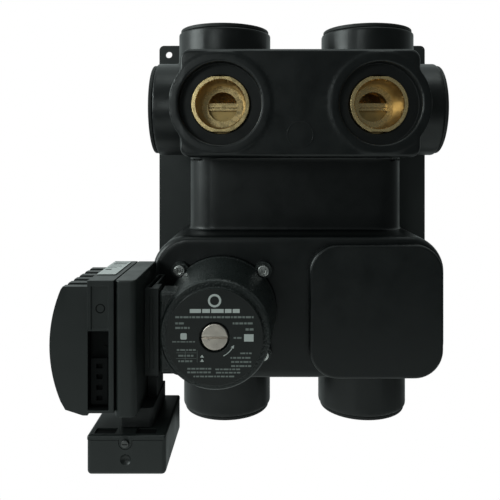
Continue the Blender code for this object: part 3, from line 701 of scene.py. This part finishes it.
def motor(axis):
    """The motor housing with its four screw ears and the pad that carries the control box's bracket."""
    profile = [
        (0, 174.2), (31.8, 174.2), (31.8, MOTOR_FRONT), (36.3, MOTOR_FRONT), (37.5, MOTOR_FRONT - 1.8),
        (42, FLANGE_FRONT), (42.4, FLANGE_FRONT), (42.4, FLANGE_BACK), (0, FLANGE_BACK),
    ]
    body = turned("motor_body", profile, "front", axis, steps=128)
    ears = [rod("ear", 6.5, "front", (x, 0, z), (FLANGE_BACK, FLANGE_FRONT), 48) for x, z in screw_places()]
    pad = bevel(block("pad", (-99.0, -80), (140, 161), (-116, -59)), 2.5, 4)
    join(body, *ears, pad)
    pockets = []
    for x, z in screw_places():
        pockets.append(rod("hole", 2.8, "front", (x, 0, z), (100, 120), 32))
        pockets.append(rod("pocket", 4.9, "front", (x, 0, z), (FLANGE_FRONT, 122), 48))
    cut(
        body,
        rod("stator_bore", 35, "front", axis, (100, 166.5)),
        rod("vent_recess", 10.1, "front", axis, (170.5, 180)),
        rod("vent_thread", 5.4, "front", axis, (160, 180), 48),
        *pockets,
    )
    piece(bevel(body, 0.35, 2), "motor", ("motor_housing",))


def flange_screws():
    """Four socket head screws round the motor's flange."""
    for number, (x, z) in enumerate(screw_places(), 1):
        profile = [(0, 115.3), (4.25, 115.3), (4.25, 111.8), (2.4, 111.8), (2.4, 90), (0, 90)]
        screw = turned(f"socket_screw_{number}", profile, "front", (x, 0, z), steps=48, soft=0.5)
        cut(screw, rod("hex", 2.3, "front", (x, 0, z), (113, 120), 6))
        piece(bevel(screw, 0.15, 2), "bright_steel", (f"flange_screw_{number}",))


def vent(axis):
    """The slotted vent screw in the middle of the nameplate, with its seal."""
    profile = [(0, 175.2), (8.7, 175.2), (8.7, 172.3), (5, 172.3), (5, 166.3), (0, 166.3)]
    screw = turned("vent_plug", profile, "front", axis, steps=96, soft=0.6)
    slot = block("slot", (PUMP_X - 12, PUMP_X + 12), (173.7, 180), (PUMP_Z - 0.8, PUMP_Z + 0.8))
    piece(bevel(cut(screw, slot), 0.15, 2), "nickel", ("vent_screw",), body="vent_screw")
    profile = [(5.4, 172), (8.2, 172), (8.2, 170.8), (5.4, 170.8)]
    seal = turned("vent_seal_fine", profile, "front", axis, soft=0.55)
    piece(seal, "rubber", ("vent_seal",), body="vent_seal")


PLATE_FACE = 175.2
PRINT_DEPTH = 0.08


def joined(name, objects):
    """Several separate shapes as one mesh."""
    bm = bmesh.new()
    for obj in objects:
        mesh = obj.data
        mesh.transform(obj.matrix_basis)
        bm.from_mesh(mesh)
        bpy.data.objects.remove(obj)
    return from_bmesh(name, bm)


def nameplate(axis):
    """A round plate with generic print: rows of dashes, a ruled table, blank squares and a turning arrow."""
    disc = turned(
        "rating_plate",
        [(10.3, PLATE_FACE), (32.1, PLATE_FACE), (32.1, 174.5), (10.3, 174.5)],
        "front", axis, steps=128, soft=0.25,
    )
    piece(disc, "nameplate", ("nameplate",))
    out = (PLATE_FACE - 0.05, PLATE_FACE + PRINT_DEPTH)

    def dash(x, z, width, height):
        left, low = PUMP_X + x, PUMP_Z + z - height / 2
        return block("dash", (left, left + width), out, (low, low + height))

    # Each row is (x, z, length, height of the letters it stands for); its dashes vary in a fixed pattern.
    rows = (
        (-26.0, 13.3, 52.0, 1.3), (-26.0, 9.2, 6.0, 1.3), (-26.0, 6.2, 9.5, 1.3), (12.0, 9.2, 14.0, 1.3),
        (20.5, 5.2, 5.5, 1.5), (-28.0, -3.0, 15.0, 0.8), (12.6, -0.4, 5.2, 1.1), (17.0, -10.6, 7.5, 1.0),
        (10.5, -13.6, 14.0, 1.1), (11.0, -16.3, 13.5, 1.1), (11.0, -19.0, 13.5, 1.1),
        (-25.0, -8.4, 12.5, 1.1), (-24.0, -12.2, 10.0, 1.2), (-24.0, -15.8, 10.0, 1.2),
        (-18.0, -20.8, 16.0, 1.1), (0.5, -21.2, 17.0, 1.0),
        (-18.0, -23.2, 16.0, 1.1), (1.0, -23.4, 16.0, 1.0), (-14.0, -25.9, 28.0, 1.0),
    )
    pattern = (2.6, 1.7, 3.4, 1.2, 2.1)
    dashes = []
    for row, (x, z, length, height) in enumerate(rows):
        start, number = 0.0, row
        while start < length - 0.6:
            width = min(pattern[number % len(pattern)], length - start)
            dashes.append(dash(x + start, z, width, height))
            start += width + 0.55
            number += 1
    dashes += [dash(-25.5, z, 13.5, 0.16) for z in (-10.3, -14.0)]
    dashes += [dash(x, -12.6, 0.16, 8.0) for x in (-19.5, -11.6)]
    piece(joined("plate_small_print", dashes), "print_pale", ("nameplate",))

    heading = ((-16.4, 7.4), (-8.2, 5.2), (-2.2, 8.2), (6.8, 4.4), (12.0, 4.6))
    bold = [dash(x, 17.4, width, 2.6) for x, width in heading]
    bold.append(turned("ring_mark", [(3.0, out[1]), (4.4, out[1]), (4.4, out[0]), (3.0, out[0])], "front",
                       (PUMP_X, 0, PUMP_Z + 24.2), 48, soft=0))
    bold.append(dash(19.5, -0.4, 6.3, 4.8))
    bold.append(slab("lamp", rounded_square(PUMP_X - 20.5, PUMP_Z + 0.6, 2.1, 0.8, 4), out))
    bold += [
        slab("tip", [(PUMP_X + x, PUMP_Z + z + dz) for x, z in ((-9.6, -1), (-7.0, -1), (-8.3, 0.9))], out)
        for dz in (-12.4, -15.2)
    ]
    sweep = arc((PUMP_X, PUMP_Z), 13.4, -65, -30, 12) + arc((PUMP_X, PUMP_Z), 13.9, -30, -65, 12)
    bold.append(slab("sweep", sweep, out))
    corners = ((12.6, -31), (14.7, -31), (13.9, -22))
    tip = [arc((PUMP_X, PUMP_Z), radius, angle, angle, 1)[0] for radius, angle in corners]
    bold.append(slab("arrow", tip, out))
    piece(joined("plate_bold_print", bold), "print_white", ("nameplate",))


# Control box and terminal box


def cover_outline(inset):
    """The finned cover seen from the front: flat against the box, and a bulging arc on its outer side."""
    inner, top, bottom = -141.2, -50.8 - inset, -134.4 + inset
    centre, radius = (-71.2, -89.0), 94.8 - inset
    reach = 36.25 - inset
    spread = math.degrees(math.asin(reach / radius))
    bulge = arc(centre, radius, 180 - spread, 180 + spread, 20)
    lower = [(-155.7 + inset, -130.7 + inset), (-144.3, bottom)]
    return [(inner, top), (-157.4 + inset, top), *bulge, *lower, (inner, bottom)]


def finned_cover():
    cover = slab("fin_cover", cover_outline(3.0), (117, 181))
    ribs, rib_width, pitch = 6, 6.0, 12.4
    fronts = [183 - number * pitch for number in range(ribs)]
    join(cover, *[slab("rib", cover_outline(0.0), (front - rib_width, front)) for front in fronts])
    cut(cover, block("hollow", (-154, -130), (121, 178), (-126, -58)))
    piece(bevel(cover, 0.9, 3, angle=25.0), "box", ("finned_cover",))


def bracket():
    """The bracket between motor and box, with shallow upright grooves in its front."""
    x, out, z = node_box("box_bracket")
    body = block("motor_bracket", x, (out[1] - 14, out[1]), z)
    join(body, block("arm", (x[0] + 0.3, x[0] + 6.1), (out[0], out[1] - 10), (z[0] + 0.5, z[1] - 0.3)))
    cut(body, block("pocket", (x[0] + 1.8, x[0] + 4.4), (out[0] + 2, out[1] - 3), (-80, -50)))
    bevel(body, 1.1, 4)
    grooves = [
        block("groove", (left, left + 0.9), (out[1] - 0.4, out[1] + 2), (z[0] + 5, z[1] - 6))
        for left in (x[0] + 2.6, x[0] + 5.6)
    ]
    piece(bevel(cut(body, *grooves), 0.15, 2, angle=60.0), "box", ("box_bracket",))


def box_details():
    """The control box's ring mark, slot marks, the slot's lining of painted shade, side wall, and the bars
    on its label.
    """
    ring = turned("ring_button", [(2.4, 184.85), (3.1, 184.85), (3.1, 184.5), (2.4, 184.5)], "front",
                  (-132.5, 0, -64.6), 64, soft=0.08)
    piece(ring, "recess", ("control_middle",))
    depth = (177.4, 177.7)
    marks = [block("mark", (-131.2, -129.6), depth, (-91.0, -90.5))]
    for step in (1, 3, 4):
        marks.append(block("mark", (-129.6, -128.9), depth, (-131 + 2.4 * step, -130.2 + 2.4 * step)))
    piece(joined("slot_marks", marks), "print_white", ("control_middle",))
    side_wall = block("box_side_wall", (-140.85, -139.8), (115.6, 175.0), (-60.0, -49.0))
    piece(side_wall, "box", ("control_middle",))
    # The slot's lining is a near-black sheet: painted shade inside the slot.
    liner = block("slot_liner_painted_shade", (-140.8, -126.9), (177.42, 185.0), (-130.25, -78.95))
    cut(liner, block("inside", (-142, -127.2), (177.7, 190), (-130.0, -79.2)))
    piece(liner, "recess", ("control_middle",))
    x, out, z = node_box("box_label")
    top = z[1]
    lines = []
    start = out[0] + 4.0
    left, height = x[0] + 1.6, (top - 0.03, top + 0.05)
    bars = ((1.2, 9.5), (2.4, 9.5), (1.0, 7.0), (1.0, 8.5), (1.0, 6.0), (3.0, 4.0))
    for number, (width, length) in enumerate(bars):
        lines.append(block("line", (left, left + length), (start, start + width), height))
        start += width + 3.2 + 0.4 * number
    piece(joined("label_lines", lines), "print_dark", ("box_label",))


def split_block(name, x, out, far, seam, width):
    """A block from far to seam in height, with rounded edges except round the seam."""
    spare = math.copysign(6.0, seam - far)
    body = bevel(block(name, x, out, sorted((far, seam + spare))), width, 6)
    beyond = sorted((seam, seam + 2 * spare))
    return cut(body, block("beyond", (x[0] - 5, x[1] + 5), (out[0] - 5, out[1] + 5), beyond))


def wiring_box():
    """The wiring box, and its lid with a round-ended tongue that comes down over the front."""
    x, out, z = node_box("terminal_box")
    front, middle = out[1], -117.4
    notch_z, notch_radius, tongue_radius = -153.4, 4.5, 4.2
    body = split_block("wiring_box", x, out, z[0], z[1], 2.8)
    bm = bmesh.new()
    bmesh.ops.create_uvsphere(bm, u_segments=64, v_segments=32, radius=4.6 * MM)
    dimple = from_bmesh("dimple", bm)
    dimple.location = Vector((-117.2, -(front + 2.8), -164.4)) * MM
    hollow = block("hollow", (x[0] + 2.5, x[1] - 2.5), (out[0] + 2.5, front - 2.5), (z[0] + 2.5, -145))
    cut(hollow, block("boss", (-124, -111), (170, 185), (-160, -140)))
    cut(
        body, hollow, dimple,
        rod("notch", notch_radius, "front", (middle, 0, notch_z), (front - 2.6, 190), 48),
        block("notch", (middle - notch_radius, middle + notch_radius), (front - 2.6, 190), (notch_z, -145)),
        rod("pilot", 1.6, "front", (middle, 0, -153.6), (171, 185), 32),
        rod("gland_hole", 6.4, "front", (-117, 0, -162), (100, 117), 48),
    )
    piece(bevel(body, 0.25, 2, angle=45.0), "box", ("terminal_box",))
    top = node_box("terminal_lid")[2][1]
    seam = top - 3.0
    lid = split_block("wiring_lid", x, out, top, seam, 1.6)
    tongue_depth = (front - 2.3, front - 0.05)
    tongue_x = (middle - tongue_radius, middle + tongue_radius)
    join(
        lid,
        rod("tongue", tongue_radius, "front", (middle, 0, notch_z), tongue_depth, 48),
        block("tongue", tongue_x, tongue_depth, (notch_z, seam + 1)),
    )
    recesses = (((-138.5, -124.7), (169.8, 177.7)), ((-111.6, -98.1), (169.8, 177.7)))
    cut(
        lid,
        rod("screw_hole", 1.6, "front", (middle, 0, -153.6), (171, 190), 32),
        *[block("recess", across, depth, (-149.3, -140)) for across, depth in recesses],
    )
    piece(bevel(lid, 0.25, 2, angle=45.0), "box", ("terminal_lid",))
    # The floors are near-black sheets in the lid's recesses: painted shade.
    floors = []
    for (left, right), (back, fore) in recesses:
        floors.append(block("floor", (left + 0.3, right - 0.3), (back + 0.3, fore - 0.3), (-149.35, -149.2)))
    piece(joined("lid_recess_painted_shade", floors), "recess", ("terminal_lid",))


def terminal_details():
    """The lid's screw, and the cable gland in the back of the wiring box."""
    x, z = -117.4, -153.6
    profile = [(0, 182), (2.4, 182), (2.4, 180.8), (1.3, 180.8), (1.3, 172), (0, 172)]
    screw = turned("lid_screw", profile, "front", (x, 0, z), 48, soft=0.35)
    cut(screw, block("drive", (x - 1.6, x + 1.6), (181.3, 185), (z - 0.4, z + 0.4)))
    piece(bevel(screw, 0.1, 2), "dark_steel", ("terminal_screw",))
    gland = [(4.5, 121), (6, 121), (6, 113.2), (9, 113.2), (9, 103), (7.5, 99), (4.5, 99)]
    piece(turned("cable_gland_fine", gland, "front", (-117, 0, -162), 64), "ring", ("cable_gland",))


def board_parts():
    """Blocks for the parts on the circuit board."""
    x, out, z = node_box("circuit_board")
    face = x[1]
    places = (
        (125, -122, 9, 12), (140, -120, 12, 8), (158, -116, 7, 16), (128, -96, 8, 8), (146, -92, 14, 10),
    )
    chips = [
        bevel(block("chip", (face - 0.1, face + 2.2), (o, o + width), (low, low + height)), 0.3, 2)
        for o, low, width, height in places
    ]
    piece(joined("board_parts", chips), "box_dark", ("circuit_board",))


# Hidden nodes keep the frame's shape with a finished material: node, look.
KEPT = (
    ("foam_core", "foam"), ("riser_pipe_left", "steel"), ("bypass_pipe_right", "steel"),
    ("lower_spigot_left", "brass_cast"), ("lower_spigot_right", "brass_cast"), ("pump_housing", "iron"),
    ("housing_gasket", "rubber"), ("bearing_plate", "steel"), ("inner_bearing", "ceramic"),
    ("outer_bearing", "ceramic"), ("rotor_can", "steel"), ("rotor_shaft", "ceramic"),
    ("rotor_core", "laminations"), ("impeller", "impeller"), ("stator_core", "laminations"),
    ("stator_winding", "copper"), ("valve_seal_left", "rubber"), ("valve_seal_right", "rubber"),
    ("casing_screw_1", "steel"), ("casing_screw_2", "steel"), ("casing_screw_3", "steel"),
    ("casing_screw_4", "steel"),
)


def kept_nodes():
    for node, look in KEPT:
        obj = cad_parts[node]
        obj.data.materials.clear()
        obj.data.materials.append(MATERIALS[look])


# Camera, light and floor


def add_camera():
    data = bpy.data.cameras.new("camera")
    data.sensor_width, data.lens = 36.0, 42.48
    data.shift_x, data.shift_y = -0.028, -0.184
    camera = bpy.data.objects.new("camera", data)
    bpy.context.scene.collection.objects.link(camera)
    camera.location = Vector((-26.8, -565.5, 32.6)) * MM
    camera.rotation_euler = (math.radians(90), 0, 0)
    bpy.context.scene.camera = camera


def area_light(name, at, target, size, power):
    data = bpy.data.lights.new(name, "AREA")
    data.shape = "RECTANGLE"
    data.size, data.size_y = size
    data.energy = power
    data.color = (0.90, 1.0, 0.98)
    light = bpy.data.objects.new(name, data)
    bpy.context.scene.collection.objects.link(light)
    light.location = at
    light.rotation_euler = (Vector(at) - Vector(target)).to_track_quat("Z", "Y").to_euler()


def studio():
    """White surroundings that give less light from the front, three soft lamps and a pale floor below."""
    world = bpy.data.worlds.new("studio")
    bpy.context.scene.world = world
    world.use_nodes = True
    nodes = Nodes(world.node_tree)
    background = world.node_tree.nodes["Background"]
    direction = nodes.add("ShaderNodeTexCoord").outputs["Generated"]
    towards = nodes.add("ShaderNodeVectorMath", operation="DOT_PRODUCT")
    nodes.link(direction, towards.inputs[0])
    towards.inputs[1].default_value = (-0.45, 0.62, 0.62)
    shade = nodes.ranged(towards.outputs["Value"], 0.085, 0.60, -0.35, 0.85)
    seen = nodes.add("ShaderNodeLightPath").outputs["Is Camera Ray"]
    strength = nodes.add("ShaderNodeMix", data_type="FLOAT")
    nodes.link(seen, strength.inputs["Factor"])
    nodes.link(shade, strength.inputs["A"])
    strength.inputs["B"].default_value = 1.0
    nodes.link(nodes.mixed(seen, (0.88, 1.0, 0.98), (1.0, 1.0, 1.0)), background.inputs["Color"])
    nodes.link(strength.outputs["Result"], background.inputs["Strength"])

    area_light("key", (-1.40, -0.50, 0.45), (0, -0.1, 0), (0.8, 0.8), 11.0)
    area_light("top", (0.1, -0.35, 1.35), (0, -0.1, 0), (1.0, 0.6), 2.5)
    area_light("front", (-0.55, -1.45, 0.25), (0, -0.1, 0.05), (0.35, 0.35), 1.9)

    bm = bmesh.new()
    bmesh.ops.create_grid(bm, x_segments=1, y_segments=1, size=0.75)
    floor = from_bmesh("floor", bm)
    floor.location = (0, -0.58, -0.5)
    floor.data.materials.append(moulded("floor", (0.78, 0.78, 0.77), 0.7, grain=0.02, tint=0.03))


bpy.context.scene.view_settings.view_transform = "Standard"
add_camera()
studio()
casing()
wall_plate()
mould_mark()
blank_cover()
end_rings()
for valve_side, valve_sign in SIDES:
    valve(valve_side, valve_sign)
PUMP_AXIS = (PUMP_X, 0, PUMP_Z)
motor(PUMP_AXIS)
flange_screws()
vent(PUMP_AXIS)
nameplate(PUMP_AXIS)
finned_cover()
bracket()
box_details()
wiring_box()
terminal_details()
board_parts()
for plain_node, piece_name, edge_width, plain_look in (
    ("control_base", "box_base", 1.1, "box"),
    ("control_middle", "box_middle", 0.9, "box"),
    # The slot's socket takes the near-black recess look: painted shade in the slot.
    ("signal_socket", "slot_socket", 0.3, "recess"),
    ("circuit_board", "board", 0.1, "board"),
    ("box_label", "paper_label", 0.05, "label"),
    ("cable_duct", "duct", 0.7, "box_dark"),
    ("terminal_block", "terminals", 0.4, "label"),
):
    refined(plain_node, piece_name, edge_width, plain_look)
kept_nodes()
